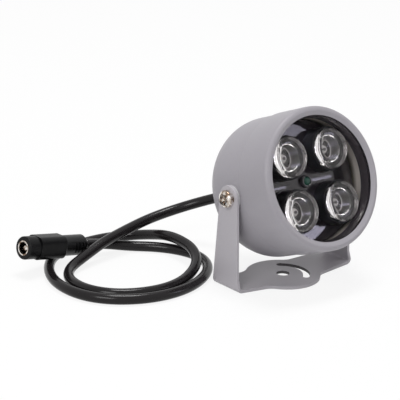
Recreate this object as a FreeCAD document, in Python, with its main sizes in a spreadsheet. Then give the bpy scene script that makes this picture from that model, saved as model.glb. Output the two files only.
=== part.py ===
"""Four-element infrared illuminator on a tilting U bracket, with its lead and power socket.

Millimetres. +Z is up, the lamp looks along -Y and its pivot axis runs along X. The origin is on the
underside of the bracket's foot, in the middle of the fixing hole. The lamp's own pieces are drawn in
a lamp frame, whose Z is the beam axis and whose zero is the pivot, and are tilted into place.
"""
import FreeCAD, Part
import Sketcher
import math
import os
import re

os.makedirs("parts", exist_ok=True)
doc = FreeCAD.newDocument("illuminator")
Vector = FreeCAD.Vector
Rotation = FreeCAD.Rotation
Placement = FreeCAD.Placement
X, Y, Z = Vector(1, 0, 0), Vector(0, 1, 0), Vector(0, 0, 1)

# Driving dimensions

SIZES = [
    # bracket, bent from one strip of sheet
    ("sheet_thick", 1.5), ("bend_radius", 2.6), ("arm_gap", 0.4),
    ("strap_front", 9.4), ("strap_back", 8.4), ("flare_front", 14.8),
    ("arm_foot", 8.0), ("arm_flare", 3.6), ("arm_tip_radius", 5.9),
    ("arms_offset_x", 2.5), ("arms_offset_y", 3.4),
    ("foot_dia", 34.2), ("foot_blend", 7.0), ("foot_hole_dia", 6.0),
    ("slot_radius", 10.8), ("slot_width", 3.2), ("slot_half_angle", 56.0),
    # pivot
    ("swing_gap", 8.6), ("rest_tilt", 22.5), ("screw_dia", 4.0), ("screw_play", 0.05),
    ("screw_head_dia", 8.1), ("screw_head_high", 2.8), ("screw_reach", 9.0),
    ("cross_span", 4.7), ("cross_width", 1.1), ("cross_depth", 1.6),
    ("friction_thick", 0.45), ("boss_dia", 11.4), ("boss_deep", 8.0), ("pivot_play", 0.05),
    # bezel, glass and seal
    ("bezel_step", 0.5), ("bezel_wall", 2.4), ("bezel_gap", 1.2), ("bezel_round", 2.0),
    ("lip_cover", 1.6), ("lip_depth", 1.0), ("lip_bevel", 0.8), ("lip_slope", 1.9), ("seam_round", 0.5),
    ("glass_thick", 1.5), ("glass_play", 0.1), ("glass_edge", 0.3),
    ("gasket_thick", 1.2), ("seal_section", 1.8), ("seal_squeeze", 0.05),
    # rear housing
    ("body_dia", 64.0), ("wall_thick", 2.2), ("spigot_step", 1.5), ("spigot_wall", 2.2),
    ("thread_play", 0.1), ("dome_gap", 1.9), ("dome_corner", 17.0), ("crown_rise", 1.7),
    ("post_dia", 6.4), ("post_margin", 3.3), ("post_sink", 9.1),
    # light engine
    ("lens_gap", 0.2), ("lens_rise", 0.9), ("lens_land", 0.15), ("lens_side", 4.0),
    ("lens_play", 0.1), ("cup_gap", 4.3), ("cup_margin", 0.9), ("cup_wall", 0.85), ("cup_hold", 1.5),
    ("cup_seat", 1.05), ("cup_depth", 8.2), ("bowl_depth", 1.2), ("bowl_taper", 1.8),
    ("mask_thick", 2.6), ("mask_play", 0.2), ("board_thick", 1.6), ("board_play", 0.2),
    ("spreader_thick", 2.5), ("spreader_gap", 0.6), ("chip_side", 6.0), ("chip_thick", 0.9),
    ("chip_dome_dia", 4.0), ("sensor_dia", 3.8), ("sensor_head", 2.0), ("sensor_high", 5.0),
    ("sensor_foot_dia", 3.2), ("collar_wall", 0.7), ("collar_high", 4.5), ("collar_play", 0.1),
    ("board_screw_dia", 3.0), ("board_screw_head_dia", 5.6), ("board_screw_head_high", 1.9),
    ("board_screw_reach", 9.0), ("board_screw_end", 1.0), ("board_screw_play", 0.05),
    # driver
    ("driver_dia", 38.0), ("driver_thick", 1.6), ("standoff_len", 10.3), ("standoff_dia", 5.0),
    ("standoff_margin", 4.0), ("coil_dia", 9.0), ("coil_high", 6.0), ("capacitor_dia", 6.3),
    ("capacitor_high", 9.0), ("chip_length", 5.0), ("chip_breadth", 4.0), ("chip_high", 1.5),
    ("wire_dia", 1.3), ("wire_rise", 4.0), ("wire_sway", 8.0),
    # gland and lead
    ("cord_dia", 4.8), ("gland_hole_dia", 9.0), ("gland_flange_lap", 2.0), ("gland_flange_thick", 2.0),
    ("gland_len", 8.0), ("gland_step", 1.8), ("gland_wall", 0.75), ("gland_play", 0.1),
    ("gland_lock_lap", 1.2), ("gland_lock_thick", 1.4), ("gland_lock_gap", 0.3),
    # power socket on the lead's end
    ("jack_len", 37.0), ("barrel_dia", 10.6), ("barrel_len", 6.2), ("barrel_round", 0.6),
    ("grip_side", 10.6), ("grip_corner", 3.2), ("grip_len", 15.0), ("grip_gap", 0.4),
    ("relief_dia", 9.6), ("relief_taper", 1.2), ("relief_nose", 2.4), ("nose_wall", 0.45),
    ("slot_pitch", 2.0), ("slot_gap", 0.7), ("slot_depth", 0.7),
    ("sleeve_bore", 5.6), ("sleeve_wall", 0.6),
    ("sleeve_len", 10.5), ("sleeve_proud", 0.2), ("pin_dia", 2.1), ("pin_back", 1.2),
    ("insulator_thick", 1.8), ("jack_play", 0.05), ("jack_pitch", 10.5), ("jack_yaw", 5.0),
    ("jack_tail_x", -62.0), ("jack_tail_y", 68.9), ("jack_tail_z", 7.1),
]

# Sizes that follow from those: what fits over, into or beside another piece
FOLLOWING = {
    "bezel_dia": "body_dia + 2 * bezel_step",
    "spigot_dia": "body_dia - 2 * spigot_step",
    "glass_dia": "bezel_dia - 2 * bezel_wall - 2 * glass_play",
    "opening_dia": "glass_dia - 2 * lip_cover",
    "bracket_width": "bezel_dia + 2 * arm_gap + 2 * sheet_thick",
    "pivot_height": "bezel_dia / 2 + sheet_thick + swing_gap",
    "bezel_back": "boss_dia / 2 + bezel_gap",
    "cylinder_end": "boss_dia / 2 + dome_gap",
    "rear_reach": "cylinder_end + dome_corner + crown_rise",
    "board_dia": "spigot_dia - 2 * spigot_wall - 2 * board_play",
    "post_place": "board_dia / 2 - post_margin",
    "cup_dia": "(board_dia / 2 - cup_margin - cup_gap / sqrt(2)) / (1 / 2 + 1 / sqrt(2))",
    "led_pitch": "cup_dia + cup_gap",
    "lens_dia": "cup_dia - 2 * cup_wall - 2 * lens_play",
    "dome_dia": "lens_dia - 2 * lens_land",
    "cup_mouth": "lens_dia - 2 * cup_seat",
    "cup_well": "cup_mouth - 2 * bowl_taper",
    "collar_dia": "sensor_dia + 2 * collar_play + 2 * collar_wall",
    "standoff_place": "driver_dia / 2 - standoff_margin",
    "gland_flange_dia": "gland_hole_dia + 2 * gland_flange_lap",
    "gland_root_dia": "gland_flange_dia - 2 * gland_step",
    "gland_tip_dia": "cord_dia + 2 * gland_wall",
    "gland_lock_dia": "gland_hole_dia + 2 * gland_lock_lap",
    "sleeve_dia": "sleeve_bore + 2 * sleeve_wall",
    "relief_nose_dia": "cord_dia + 2 * nose_wall",
}

sheet = doc.addObject("Spreadsheet::Sheet", "Sizes")
for row, (alias, number) in enumerate(SIZES, 1):
    sheet.set(f"A{row}", alias.replace("_", " "))
    sheet.set(f"B{row}", str(number))
    sheet.setAlias(f"B{row}", alias)
doc.recompute()


def formula(text):
    """The same formula with each size's name pointing at the sheet."""
    def written(found):
        name = found.group()
        return "(" + formula(FOLLOWING[name]) + ")" if name in FOLLOWING else "Sizes." + name
    return re.sub(r"\b[a-z]+(?:_[a-z]+)+\b", written, text)


def value(text):
    return float(sheet.evalExpression(formula(text)))


def bind(item, **formulas):
    for name, text in formulas.items():
        item.setExpression(name, formula(text))


# Levels along the beam axis, from the pivot forward to the glass and back to the driver

SPREADER_BASE = "boss_dia / 2 + spreader_gap"
BOARD_BASE = SPREADER_BASE + " + spreader_thick"
BOARD_TOP = BOARD_BASE + " + board_thick"
LENS_BASE = BOARD_TOP + " + cup_depth"
CUP_RIM = LENS_BASE + " + cup_hold"
DOME_BASE = LENS_BASE + " + lens_side"
LENS_TOP = DOME_BASE + " + lens_rise"
GLASS_BACK = LENS_TOP + " + lens_gap"
LIP_BACK = GLASS_BACK + " + glass_thick"
FRONT = LIP_BACK + " + lip_depth"
SPIGOT_FRONT = GLASS_BACK + " - gasket_thick"
BEZEL_BACK = "bezel_back"
DRIVER_TOP = SPREADER_BASE + " - standoff_len"
DRIVER_BASE = DRIVER_TOP + " - driver_thick"
POST_BASE = "-cylinder_end - post_sink"
REAR_INSIDE = "-rear_reach + wall_thick"
ARM_INSIDE = "bracket_width / 2 - sheet_thick"
BOSS_FACE = ARM_INSIDE + " - pivot_play - friction_thick"
HEAD_SEAT = "bracket_width / 2 + pivot_play"

pivot = Vector(value("arms_offset_x"), value("arms_offset_y"), value("pivot_height"))
lamp_place = Placement(pivot, Rotation(X, 90 - value("rest_tilt")))
jack_turn = Rotation(Z, value("jack_yaw")) * Rotation(Y, value("jack_pitch") - 90)
jack_tail = Vector(value("jack_tail_x"), value("jack_tail_y"), value("jack_tail_z"))
jack_place = Placement(jack_tail, jack_turn)

parts = {}


def keep(item, label, place=None):
    """Names a finished sub-part and puts it where it belongs."""
    item.Label = label
    if place is not None:
        item.Placement = place
    parts[label] = item
    return item


# Sketches and features

def new_body(label, place=None):
    return keep(doc.addObject("PartDesign::Body", label + "_body"), label, place)


def plane_of(body, role):
    return next(item for item in body.Origin.OriginFeatures if item.Role == role)


def sketch(body, name, role, height=None):
    """A sketch on one of the body's own planes, lifted off it by the formula in height."""
    new = body.newObject("Sketcher::SketchObject", name)
    new.AttachmentSupport = [(plane_of(body, role), "")]
    new.MapMode = "FlatFace"
    if height is not None:
        new.setExpression("AttachmentOffset.Base.z", formula(height))
    return new


def fix(drawing, element, corner, across, along):
    """Ties a point of the drawing to its place by two formulas. A "0" puts it on the axis."""
    for kind, axis, text in (("DistanceX", -2, across), ("DistanceY", -1, along)):
        if text is None:
            continue
        if text == "0":
            drawing.addConstraint(Sketcher.Constraint("PointOnObject", element, corner, axis))
            continue
        rule = Sketcher.Constraint(kind, -1, 1, element, corner, value(text))
        index = drawing.addConstraint(rule)
        drawing.setExpression(f"Constraints[{index}]", formula(text))


def spot(across, along):
    return Vector(value(across), value(along), 0)


def outline(drawing, points):
    """A closed outline of straight lines through points given as pairs of formulas."""
    first = drawing.GeometryCount
    count = len(points)
    for here, there in zip(points, points[1:] + points[:1]):
        drawing.addGeometry(Part.LineSegment(spot(*here), spot(*there)), False)
    for step in range(count):
        following = first + (step + 1) % count
        drawing.addConstraint(Sketcher.Constraint("Coincident", first + step, 2, following, 1))
    for step, (across, along) in enumerate(points):
        fix(drawing, first + step, 1, across, along)
    return drawing


def ring(drawing, diameter, across="0", along="0"):
    """A circle of the given diameter, in the middle unless told otherwise."""
    shape = Part.Circle(spot(across, along), Z, value(diameter) / 2)
    element = drawing.addGeometry(shape, False)
    fix(drawing, element, 3, across, along)
    index = drawing.addConstraint(Sketcher.Constraint("Diameter", element, value(diameter)))
    drawing.setExpression(f"Constraints[{index}]", formula(diameter))
    return drawing


def revolve(body, drawing, kind="Revolution"):
    """Turns the drawing once round its upright axis, as a Revolution or a Groove."""
    turned = body.newObject("PartDesign::" + kind, drawing.Name + "_" + kind.lower())
    turned.Profile = drawing
    turned.ReferenceAxis = (drawing, ["V_Axis"])
    turned.Angle = 360
    return turned


def pad(body, drawing, length, down=False, both_ways=False):
    block = body.newObject("PartDesign::Pad", drawing.Name + "_pad")
    block.Profile = drawing
    block.Reversed = down
    block.Midplane = both_ways
    bind(block, Length=length)
    return block


def pocket(body, drawing, length=None, up=False, both_ways=False):
    """Cuts the drawing into the body, right through it where no length is given."""
    cut = body.newObject("PartDesign::Pocket", drawing.Name + "_pocket")
    cut.Profile = drawing
    cut.Reversed = up
    cut.Midplane = both_ways
    if length is None:
        cut.Type = "ThroughAll"
    else:
        bind(cut, Length=length)
    return cut


def dress(body, kind, size, chosen):
    """A Fillet or Chamfer on the edges of the body so far that the test picks out."""
    doc.recompute()
    base = body.Tip
    edges = [f"Edge{n}" for n, edge in enumerate(base.Shape.Edges, 1) if chosen(edge)]
    feature = body.newObject("PartDesign::" + kind, f"{kind.lower()}_{base.Name}")
    feature.Base = (base, edges)
    bind(feature, **{"Radius" if kind == "Fillet" else "Size": size})
    return feature


def circle_at(diameter, level):
    """A test for the round edge of that diameter at that level on the turning axis."""
    radius, height = value(diameter) / 2, value(level)

    def test(edge):
        box = edge.BoundBox
        flat = abs(box.ZMin - height) < 0.01 and abs(box.ZMax - height) < 0.01
        return flat and abs(box.XMax - radius) < 0.01 and abs(box.XMin + radius) < 0.01
    return test


def any_of(*tests):
    return lambda edge: any(test(edge) for test in tests)


def rod(label, diameter, length, low, place=lamp_place, across="0", along="0"):
    """A plain cylinder that stands at the level low."""
    item = doc.addObject("Part::Cylinder", label + "_rod")
    bind(item, Radius=f"({diameter}) / 2", Height=length)
    doc.recompute()
    at = Vector(value(across), value(along), value(low))
    return keep(item, label, place * Placement(at, Rotation()))


# Bracket: foot disc, strap, two bends and two tapered arms

def build_bracket():
    body = new_body("bracket", Placement(Vector(pivot.x, pivot.y, 0), Rotation()))
    bend_line = "bracket_width / 2 - bend_radius"
    strap = outline(sketch(body, "strap", "XY_Plane"), [
        ("-(" + bend_line + ")", "-strap_front"), ("-arms_offset_x", "-flare_front"),
        (bend_line, "-strap_front"),
        (bend_line, "strap_back"), ("-(" + bend_line + ")", "strap_back")])
    pad(body, strap, "sheet_thick")
    foot = ring(sketch(body, "foot", "XY_Plane"), "foot_dia", "-arms_offset_x", "-arms_offset_y")
    pad(body, foot, "sheet_thick")

    def notch(edge):
        """The upright edges where the round foot leaves the strap."""
        box = edge.BoundBox
        upright = box.XLength < 0.01 and box.YLength < 0.01
        return upright and abs(box.XMin) < value(bend_line) - 1 and \
            abs(math.hypot(box.XMin + pivot.x, box.YMin + pivot.y) - value("foot_dia") / 2) < 0.01
    dress(body, "Fillet", "foot_blend", notch)

    bend = sketch(body, "bend", "XZ_Plane")
    centre = spot(bend_line, "bend_radius")
    for n, radius in enumerate(("bend_radius", "bend_radius - sheet_thick")):
        arc = Part.ArcOfCircle(Part.Circle(centre, Z, value(radius)), 1.5 * math.pi, 2 * math.pi)
        bend.addGeometry(arc, False)
        index = bend.addConstraint(Sketcher.Constraint("Radius", n, value(radius)))
        bend.setExpression(f"Constraints[{index}]", formula(radius))
        fix(bend, n, 3, bend_line, "bend_radius")
        fix(bend, n, 1, bend_line, None)
        fix(bend, n, 2, None, "bend_radius")
    for end in (1, 2):
        points = [bend.getPoint(0, end), bend.getPoint(1, end)]
        line = bend.addGeometry(Part.LineSegment(*points), False)
        bend.addConstraint(Sketcher.Constraint("Coincident", line, 1, 0, end))
        bend.addConstraint(Sketcher.Constraint("Coincident", line, 2, 1, end))
    bend.setExpression("AttachmentOffset.Base.z", formula("(strap_front - strap_back) / 2"))
    curl = pad(body, bend, "strap_front + strap_back", both_ways=True)

    arm = sketch(body, "arm", "YZ_Plane", ARM_INSIDE)
    outline(arm, [("-strap_front", "bend_radius"), ("strap_back", "bend_radius"),
                  ("arm_tip_radius", "pivot_height"), ("-arm_tip_radius", "pivot_height"),
                  ("-arm_foot", "bend_radius + arm_flare")])
    upright = pad(body, arm, "sheet_thick")
    tip = ring(sketch(body, "tip", "YZ_Plane", ARM_INSIDE), "2 * arm_tip_radius", "0", "pivot_height")
    crown = pad(body, tip, "sheet_thick")
    mirror = body.newObject("PartDesign::Mirrored", "far_arm")
    mirror.Originals = [curl, upright, crown]
    mirror.MirrorPlane = (plane_of(body, "YZ_Plane"), [""])
    body.Tip = mirror
    doc.recompute()

    pin = ring(sketch(body, "pin", "YZ_Plane"), "screw_dia + 2 * screw_play", "0", "pivot_height")
    pocket(body, pin, both_ways=True)

    # the fixing hole and the round ends of the curved slot, then the slot itself
    middle = ("-arms_offset_x", "-arms_offset_y")
    holes = ring(sketch(body, "holes", "XY_Plane"), "foot_hole_dia", *middle)
    for side in ("-", "+"):
        ring(holes, "slot_width", "-arms_offset_x + slot_radius * cos(slot_half_angle)",
             f"-arms_offset_y {side} slot_radius * sin(slot_half_angle)")
    pocket(body, holes, "sheet_thick", up=True)
    slot = sketch(body, "slot", "XZ_Plane", "arms_offset_y")
    slot.setExpression("AttachmentOffset.Base.x", formula("-arms_offset_x"))
    outline(slot, [("slot_radius - slot_width / 2", "-sheet_thick"),
                   ("slot_radius + slot_width / 2", "-sheet_thick"),
                   ("slot_radius + slot_width / 2", "2 * sheet_thick"),
                   ("slot_radius - slot_width / 2", "2 * sheet_thick")])
    sweep = revolve(body, slot, "Groove")
    sweep.Midplane = True
    bind(sweep, Angle="2 * slot_half_angle")
    doc.recompute()


# Front bezel: a turned ring with a lip over the glass and a socket for the housing's spigot

def build_bezel():
    body = new_body("front_bezel", lamp_place)
    seat, socket = "glass_dia / 2 + glass_play", "spigot_dia / 2 + thread_play"
    revolve(body, outline(sketch(body, "bezel", "XZ_Plane"), [
        ("opening_dia / 2", FRONT + " - lip_bevel"), ("opening_dia / 2 + lip_slope", FRONT),
        ("bezel_dia / 2", FRONT), ("bezel_dia / 2", BEZEL_BACK),
        (socket, BEZEL_BACK), (socket, SPIGOT_FRONT), (seat, SPIGOT_FRONT),
        (seat, LIP_BACK), ("opening_dia / 2", LIP_BACK)]))
    dress(body, "Fillet", "bezel_round", circle_at("bezel_dia", FRONT))
    dress(body, "Fillet", "seam_round", circle_at("bezel_dia", BEZEL_BACK))


def build_glass():
    body = new_body("front_glass", lamp_place)
    disc = ring(sketch(body, "pane", "XY_Plane", GLASS_BACK), "glass_dia")
    pad(body, disc, "glass_thick")
    dress(body, "Chamfer", "glass_edge", any_of(circle_at("glass_dia", LIP_BACK),
                                                circle_at("glass_dia", GLASS_BACK)))
    body = new_body("glass_gasket", lamp_place)
    band = ring(sketch(body, "gasket", "XY_Plane", SPIGOT_FRONT), "glass_dia")
    pad(body, ring(band, "opening_dia"), "gasket_thick")


# Rear housing: a cast shell with a threaded spigot, two pivot bosses and two screw posts

def dome_profile(drawing, radius, corner, top, tangent, rear):
    """Half the section of the domed shell: a straight wall, a round corner and a shallow crown."""
    wide, turn, start, end = value(radius), value(corner), value(tangent), value(rear)
    drop, inset = start - end, wide - turn
    crown = (drop ** 2 + inset ** 2 - turn ** 2) / (2 * (drop - turn))
    crown_centre, corner_centre = Vector(0, end + crown, 0), Vector(inset, start, 0)
    lean = math.atan2(corner_centre.y - crown_centre.y, inset)
    join = crown_centre + Vector(math.cos(lean), math.sin(lean), 0) * crown
    wall = Part.LineSegment(spot(radius, top), Vector(wide, start, 0))
    bend = Part.ArcOfCircle(Part.Circle(corner_centre, Z, turn), lean, 0)
    cap = Part.ArcOfCircle(Part.Circle(crown_centre, Z, crown), -math.pi / 2, lean)
    axis = Part.LineSegment(Vector(0, end, 0), Vector(0, value(top), 0))
    lid = Part.LineSegment(Vector(0, value(top), 0), spot(radius, top))
    for shape in (wall, bend, cap, axis, lid):
        drawing.addGeometry(shape, False)
    for rule in (("Tangent", 0, 2, 1, 2), ("Tangent", 1, 1, 2, 2), ("PointOnObject", 2, 3, -2),
                 ("Coincident", 2, 1, 3, 1), ("Coincident", 3, 2, 4, 1), ("Coincident", 4, 2, 0, 1),
                 ("Vertical", 0)):
        drawing.addConstraint(Sketcher.Constraint(*rule))
    index = drawing.addConstraint(Sketcher.Constraint("Radius", 1, turn))
    drawing.setExpression(f"Constraints[{index}]", formula(corner))
    fix(drawing, 0, 1, radius, top)
    fix(drawing, 0, 2, None, tangent)
    fix(drawing, 3, 1, "0", rear)
    fix(drawing, 3, 2, "0", top)
    return drawing


def build_housing():
    body = new_body("rear_housing", lamp_place)
    shoulder = BEZEL_BACK
    shell = sketch(body, "shell", "XZ_Plane")
    revolve(body, dome_profile(shell, "body_dia / 2", "dome_corner", shoulder, "-cylinder_end",
                               "-rear_reach"))
    dress(body, "Fillet", "seam_round", circle_at("body_dia", shoulder))
    spigot = ring(sketch(body, "spigot", "XY_Plane", shoulder), "spigot_dia")
    pad(body, spigot, SPIGOT_FRONT + " - (" + shoulder + ")")

    inside = sketch(body, "inside", "XZ_Plane")
    ledge = shoulder + " - wall_thick"
    revolve(body, dome_profile(inside, "body_dia / 2 - wall_thick", "dome_corner - wall_thick", ledge,
                               "-cylinder_end", REAR_INSIDE), "Groove")
    bore = ring(sketch(body, "bore", "XY_Plane", SPIGOT_FRONT), "spigot_dia - 2 * spigot_wall")
    pocket(body, bore, SPIGOT_FRONT + " - (" + ledge + ")")
    deep = "spigot_dia / 2 - seal_section"
    revolve(body, outline(sketch(body, "seal_groove", "XZ_Plane"), [
        (deep, shoulder), ("spigot_dia / 2 + 1", shoulder),
        ("spigot_dia / 2 + 1", shoulder + " + seal_section + seal_squeeze"),
        (deep, shoulder + " + seal_section + seal_squeeze")]), "Groove")

    boss = ring(sketch(body, "boss", "YZ_Plane", BOSS_FACE), "boss_dia")
    lug = pad(body, boss, "boss_deep", down=True)
    mirror = body.newObject("PartDesign::Mirrored", "far_boss")
    mirror.Originals = [lug]
    mirror.MirrorPlane = (plane_of(body, "YZ_Plane"), [""])
    body.Tip = mirror
    doc.recompute()
    posts = sketch(body, "posts", "XY_Plane", SPREADER_BASE)
    for side in ("", "-"):
        ring(posts, "post_dia", "0", side + "post_place")
    pad(body, posts, SPREADER_BASE + " - (" + POST_BASE + ")", down=True)

    pin = ring(sketch(body, "pivot_thread", "YZ_Plane"), "screw_dia + 2 * screw_play")
    pocket(body, pin, both_ways=True)
    threads = sketch(body, "post_threads", "XY_Plane", SPREADER_BASE)
    for side in ("", "-"):
        ring(threads, "board_screw_dia + 2 * board_screw_play", "0", side + "post_place")
    pocket(body, threads, "board_screw_reach")
    exit_hole = ring(sketch(body, "cord_hole", "XY_Plane", "-rear_reach - wall_thick"), "gland_hole_dia")
    pocket(body, exit_hole, "3 * wall_thick", up=True)
    doc.recompute()


def build_seal():
    item = doc.addObject("Part::Torus", "seal_torus")
    bind(item, Radius1="spigot_dia / 2 - seal_section / 2 + seal_squeeze", Radius2="seal_section / 2")
    at = Vector(0, 0, value(BEZEL_BACK + " + (seal_section + seal_squeeze) / 2"))
    doc.recompute()
    keep(item, "seal_ring", lamp_place * Placement(at, Rotation()))


# Light engine: mask, four cups with lenses and emitters, boards and the daylight sensor

def led_places():
    """The four lens centres, clockwise from the upper left as seen from in front."""
    return [(side, rise) for rise in ("", "-") for side in ("-", "")]


def build_optics():
    for number, (side, rise) in enumerate(led_places(), 1):
        across, along = value(side + "led_pitch / 2"), value(rise + "led_pitch / 2")
        place = lamp_place * Placement(Vector(across, along, 0), Rotation())

        cup = new_body(f"lens_cup_{number}", place)
        seat = "lens_dia / 2 + lens_play"
        revolve(cup, outline(sketch(cup, f"cup_{number}", "XZ_Plane"), [
            ("cup_well / 2", BOARD_TOP), ("cup_dia / 2", BOARD_TOP),
            ("cup_dia / 2", CUP_RIM), (seat, CUP_RIM),
            (seat, LENS_BASE), ("cup_mouth / 2", LENS_BASE),
            ("cup_well / 2", LENS_BASE + " - bowl_depth")]))

        lens = new_body(f"led_lens_{number}", place)
        section = sketch(lens, f"lens_{number}", "XZ_Plane")
        rim, foot = value("dome_dia / 2"), value(DOME_BASE)
        bulge = (rim ** 2 + value("lens_rise") ** 2) / (2 * value("lens_rise"))
        centre = Vector(0, value(LENS_TOP) - bulge, 0)
        low = math.atan2(foot - centre.y, rim)
        section.addGeometry(Part.ArcOfCircle(Part.Circle(centre, Z, bulge), low, math.pi / 2), False)
        corners = [("0", LENS_TOP), ("0", LENS_BASE), ("lens_dia / 2", LENS_BASE),
                   ("lens_dia / 2", DOME_BASE), ("dome_dia / 2", DOME_BASE)]
        for here, there in zip(corners, corners[1:]):
            section.addGeometry(Part.LineSegment(spot(*here), spot(*there)), False)
        for line in range(1, 4):
            section.addConstraint(Sketcher.Constraint("Coincident", line, 2, line + 1, 1))
        section.addConstraint(Sketcher.Constraint("Coincident", 0, 2, 1, 1))
        section.addConstraint(Sketcher.Constraint("Coincident", 4, 2, 0, 1))
        section.addConstraint(Sketcher.Constraint("PointOnObject", 0, 3, -2))
        for line, corner in enumerate(corners[:4], 1):
            fix(section, line, 1, *corner)
        fix(section, 4, 2, *corners[4])
        revolve(lens, section)

        chip = new_body(f"led_chip_{number}", place)
        half = "chip_side / 2"
        base = outline(sketch(chip, f"chip_{number}", "XY_Plane", BOARD_TOP), [
            ("-" + half, "-" + half), (half, "-" + half), (half, half), ("-" + half, half)])
        pad(chip, base, "chip_thick")
        dome = chip.newObject("PartDesign::AdditiveSphere", f"chip_dome_{number}")
        bind(dome, Radius="chip_dome_dia / 2")
        dome.Angle1 = 0
        dome.AttachmentSupport = [(plane_of(chip, "XY_Plane"), "")]
        dome.MapMode = "FlatFace"
        dome.setExpression("AttachmentOffset.Base.z", formula(BOARD_TOP + " + chip_thick"))


def build_mask():
    body = new_body("lens_mask", lamp_place)
    plate = ring(sketch(body, "mask", "XY_Plane", BOARD_TOP), "board_dia")
    for side, rise in led_places():
        ring(plate, "cup_dia + mask_play", side + "led_pitch / 2", rise + "led_pitch / 2")
    ring(plate, "collar_dia + mask_play")
    pad(body, plate, "mask_thick")
    heads = sketch(body, "head_room", "XY_Plane", BOARD_TOP)
    for side in ("", "-"):
        ring(heads, "board_screw_head_dia + 2 * mask_play", "0", side + "post_place")
    pocket(body, heads, "board_screw_head_high + mask_play", up=True)


def build_boards():
    for label, level, thick in (("led_board", BOARD_BASE, "board_thick"),
                                ("heat_spreader", SPREADER_BASE, "spreader_thick")):
        body = new_body(label, lamp_place)
        plate = ring(sketch(body, label + "_disc", "XY_Plane", level), "board_dia")
        for side in ("", "-"):
            ring(plate, "board_screw_dia + 2 * board_screw_play", "0", side + "post_place")
        pad(body, plate, thick)

    body = new_body("board_screws", lamp_place)
    for side in ("", "-"):
        name = "upper" if side == "" else "lower"
        shank = ring(sketch(body, name + "_shank", "XY_Plane", BOARD_TOP), "board_screw_dia", "0",
                     side + "post_place")
        pad(body, shank, "board_thick + spreader_thick + board_screw_reach - board_screw_end", down=True)
        head = ring(sketch(body, name + "_head", "XY_Plane", BOARD_TOP), "board_screw_head_dia", "0",
                    side + "post_place")
        pad(body, head, "board_screw_head_high")
        doc.recompute()


def build_sensor():
    body = new_body("photosensor", lamp_place)
    shelf, top = BOARD_TOP + " + sensor_high - sensor_head", BOARD_TOP + " + sensor_high"
    revolve(body, outline(sketch(body, "sensor", "XZ_Plane"), [
        ("0", BOARD_TOP), ("sensor_foot_dia / 2", BOARD_TOP), ("sensor_foot_dia / 2", shelf),
        ("sensor_dia / 2", shelf), ("sensor_dia / 2", top), ("0", top)]))
    body = new_body("sensor_collar", lamp_place)
    tube = ring(sketch(body, "collar", "XY_Plane", BOARD_TOP), "collar_dia")
    pad(body, ring(tube, "sensor_dia + 2 * collar_play"), "collar_high")


def build_driver():
    body = new_body("driver_board", lamp_place)
    pad(body, ring(sketch(body, "driver", "XY_Plane", DRIVER_BASE), "driver_dia"), "driver_thick")
    body = new_body("driver_coil", lamp_place)
    coil = ring(sketch(body, "coil", "XY_Plane", DRIVER_BASE), "coil_dia", "coil_dia", "0")
    pad(body, ring(coil, "coil_dia / 2", "coil_dia", "0"), "coil_high", down=True)
    rod("driver_capacitor", "capacitor_dia", "capacitor_high", DRIVER_BASE + " - capacitor_high",
        across="-capacitor_dia", along="capacitor_dia")
    block = doc.addObject("Part::Box", "driver_chip_block")
    bind(block, Length="chip_length", Width="chip_breadth", Height="chip_high")
    at = Vector(value("-chip_length / 2"), value("-capacitor_dia - chip_breadth"),
                value(DRIVER_BASE + " - chip_high"))
    doc.recompute()
    keep(block, "driver_chip", lamp_place * Placement(at, Rotation()))

    studs = new_body("driver_standoffs", lamp_place)
    for number, angle in enumerate((90, 210, 330), 1):
        leg = ring(sketch(studs, f"stud_{number}", "XY_Plane", DRIVER_TOP), "standoff_dia",
                   f"standoff_place * cos({angle})" if angle != 90 else "0",
                   f"standoff_place * sin({angle})")
        pad(studs, leg, "standoff_len")
        doc.recompute()


# Pivot: a cross-recessed screw and a friction washer on each side

def build_pivots():
    for label, turn in (("left", Rotation(Z, 180)), ("right", Rotation())):
        place = lamp_place * Placement(Vector(0, 0, 0), turn)
        along_x = place * Placement(Vector(value(HEAD_SEAT), 0, 0), Rotation(Y, 90))
        screw = new_body(f"pivot_screw_{label}", along_x)
        revolve(screw, outline(sketch(screw, f"screw_{label}", "XZ_Plane"), [
            ("0", "-screw_reach"), ("screw_dia / 2", "-screw_reach"), ("screw_dia / 2", "0"),
            ("screw_head_dia / 2", "0"), ("screw_head_dia / 2", "screw_head_high"),
            ("0", "screw_head_high")]))
        dress(screw, "Fillet", "screw_head_high * 0.55", circle_at("screw_head_dia", "screw_head_high"))
        dress(screw, "Chamfer", "screw_dia / 8", circle_at("screw_dia", "-screw_reach"))
        for name, wide, tall in (("slot_a", "cross_span", "cross_width"),
                                 ("slot_b", "cross_width", "cross_span")):
            cut = outline(sketch(screw, f"{name}_{label}", "XY_Plane", "screw_head_high"), [
                (f"-{wide} / 2", f"-{tall} / 2"), (f"{wide} / 2", f"-{tall} / 2"),
                (f"{wide} / 2", f"{tall} / 2"), (f"-{wide} / 2", f"{tall} / 2")])
            pocket(screw, cut, "cross_depth")

        at = Vector(value(BOSS_FACE), 0, 0)
        washer = new_body(f"friction_washer_{label}", place * Placement(at, Rotation(Y, 90)))
        band = ring(sketch(washer, f"washer_{label}", "XY_Plane"), "boss_dia")
        pad(washer, ring(band, "screw_dia + 4 * screw_play"), "friction_thick")


# Lead: gland, two feed wires inside, and the cord that lies in two loose loops

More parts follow.
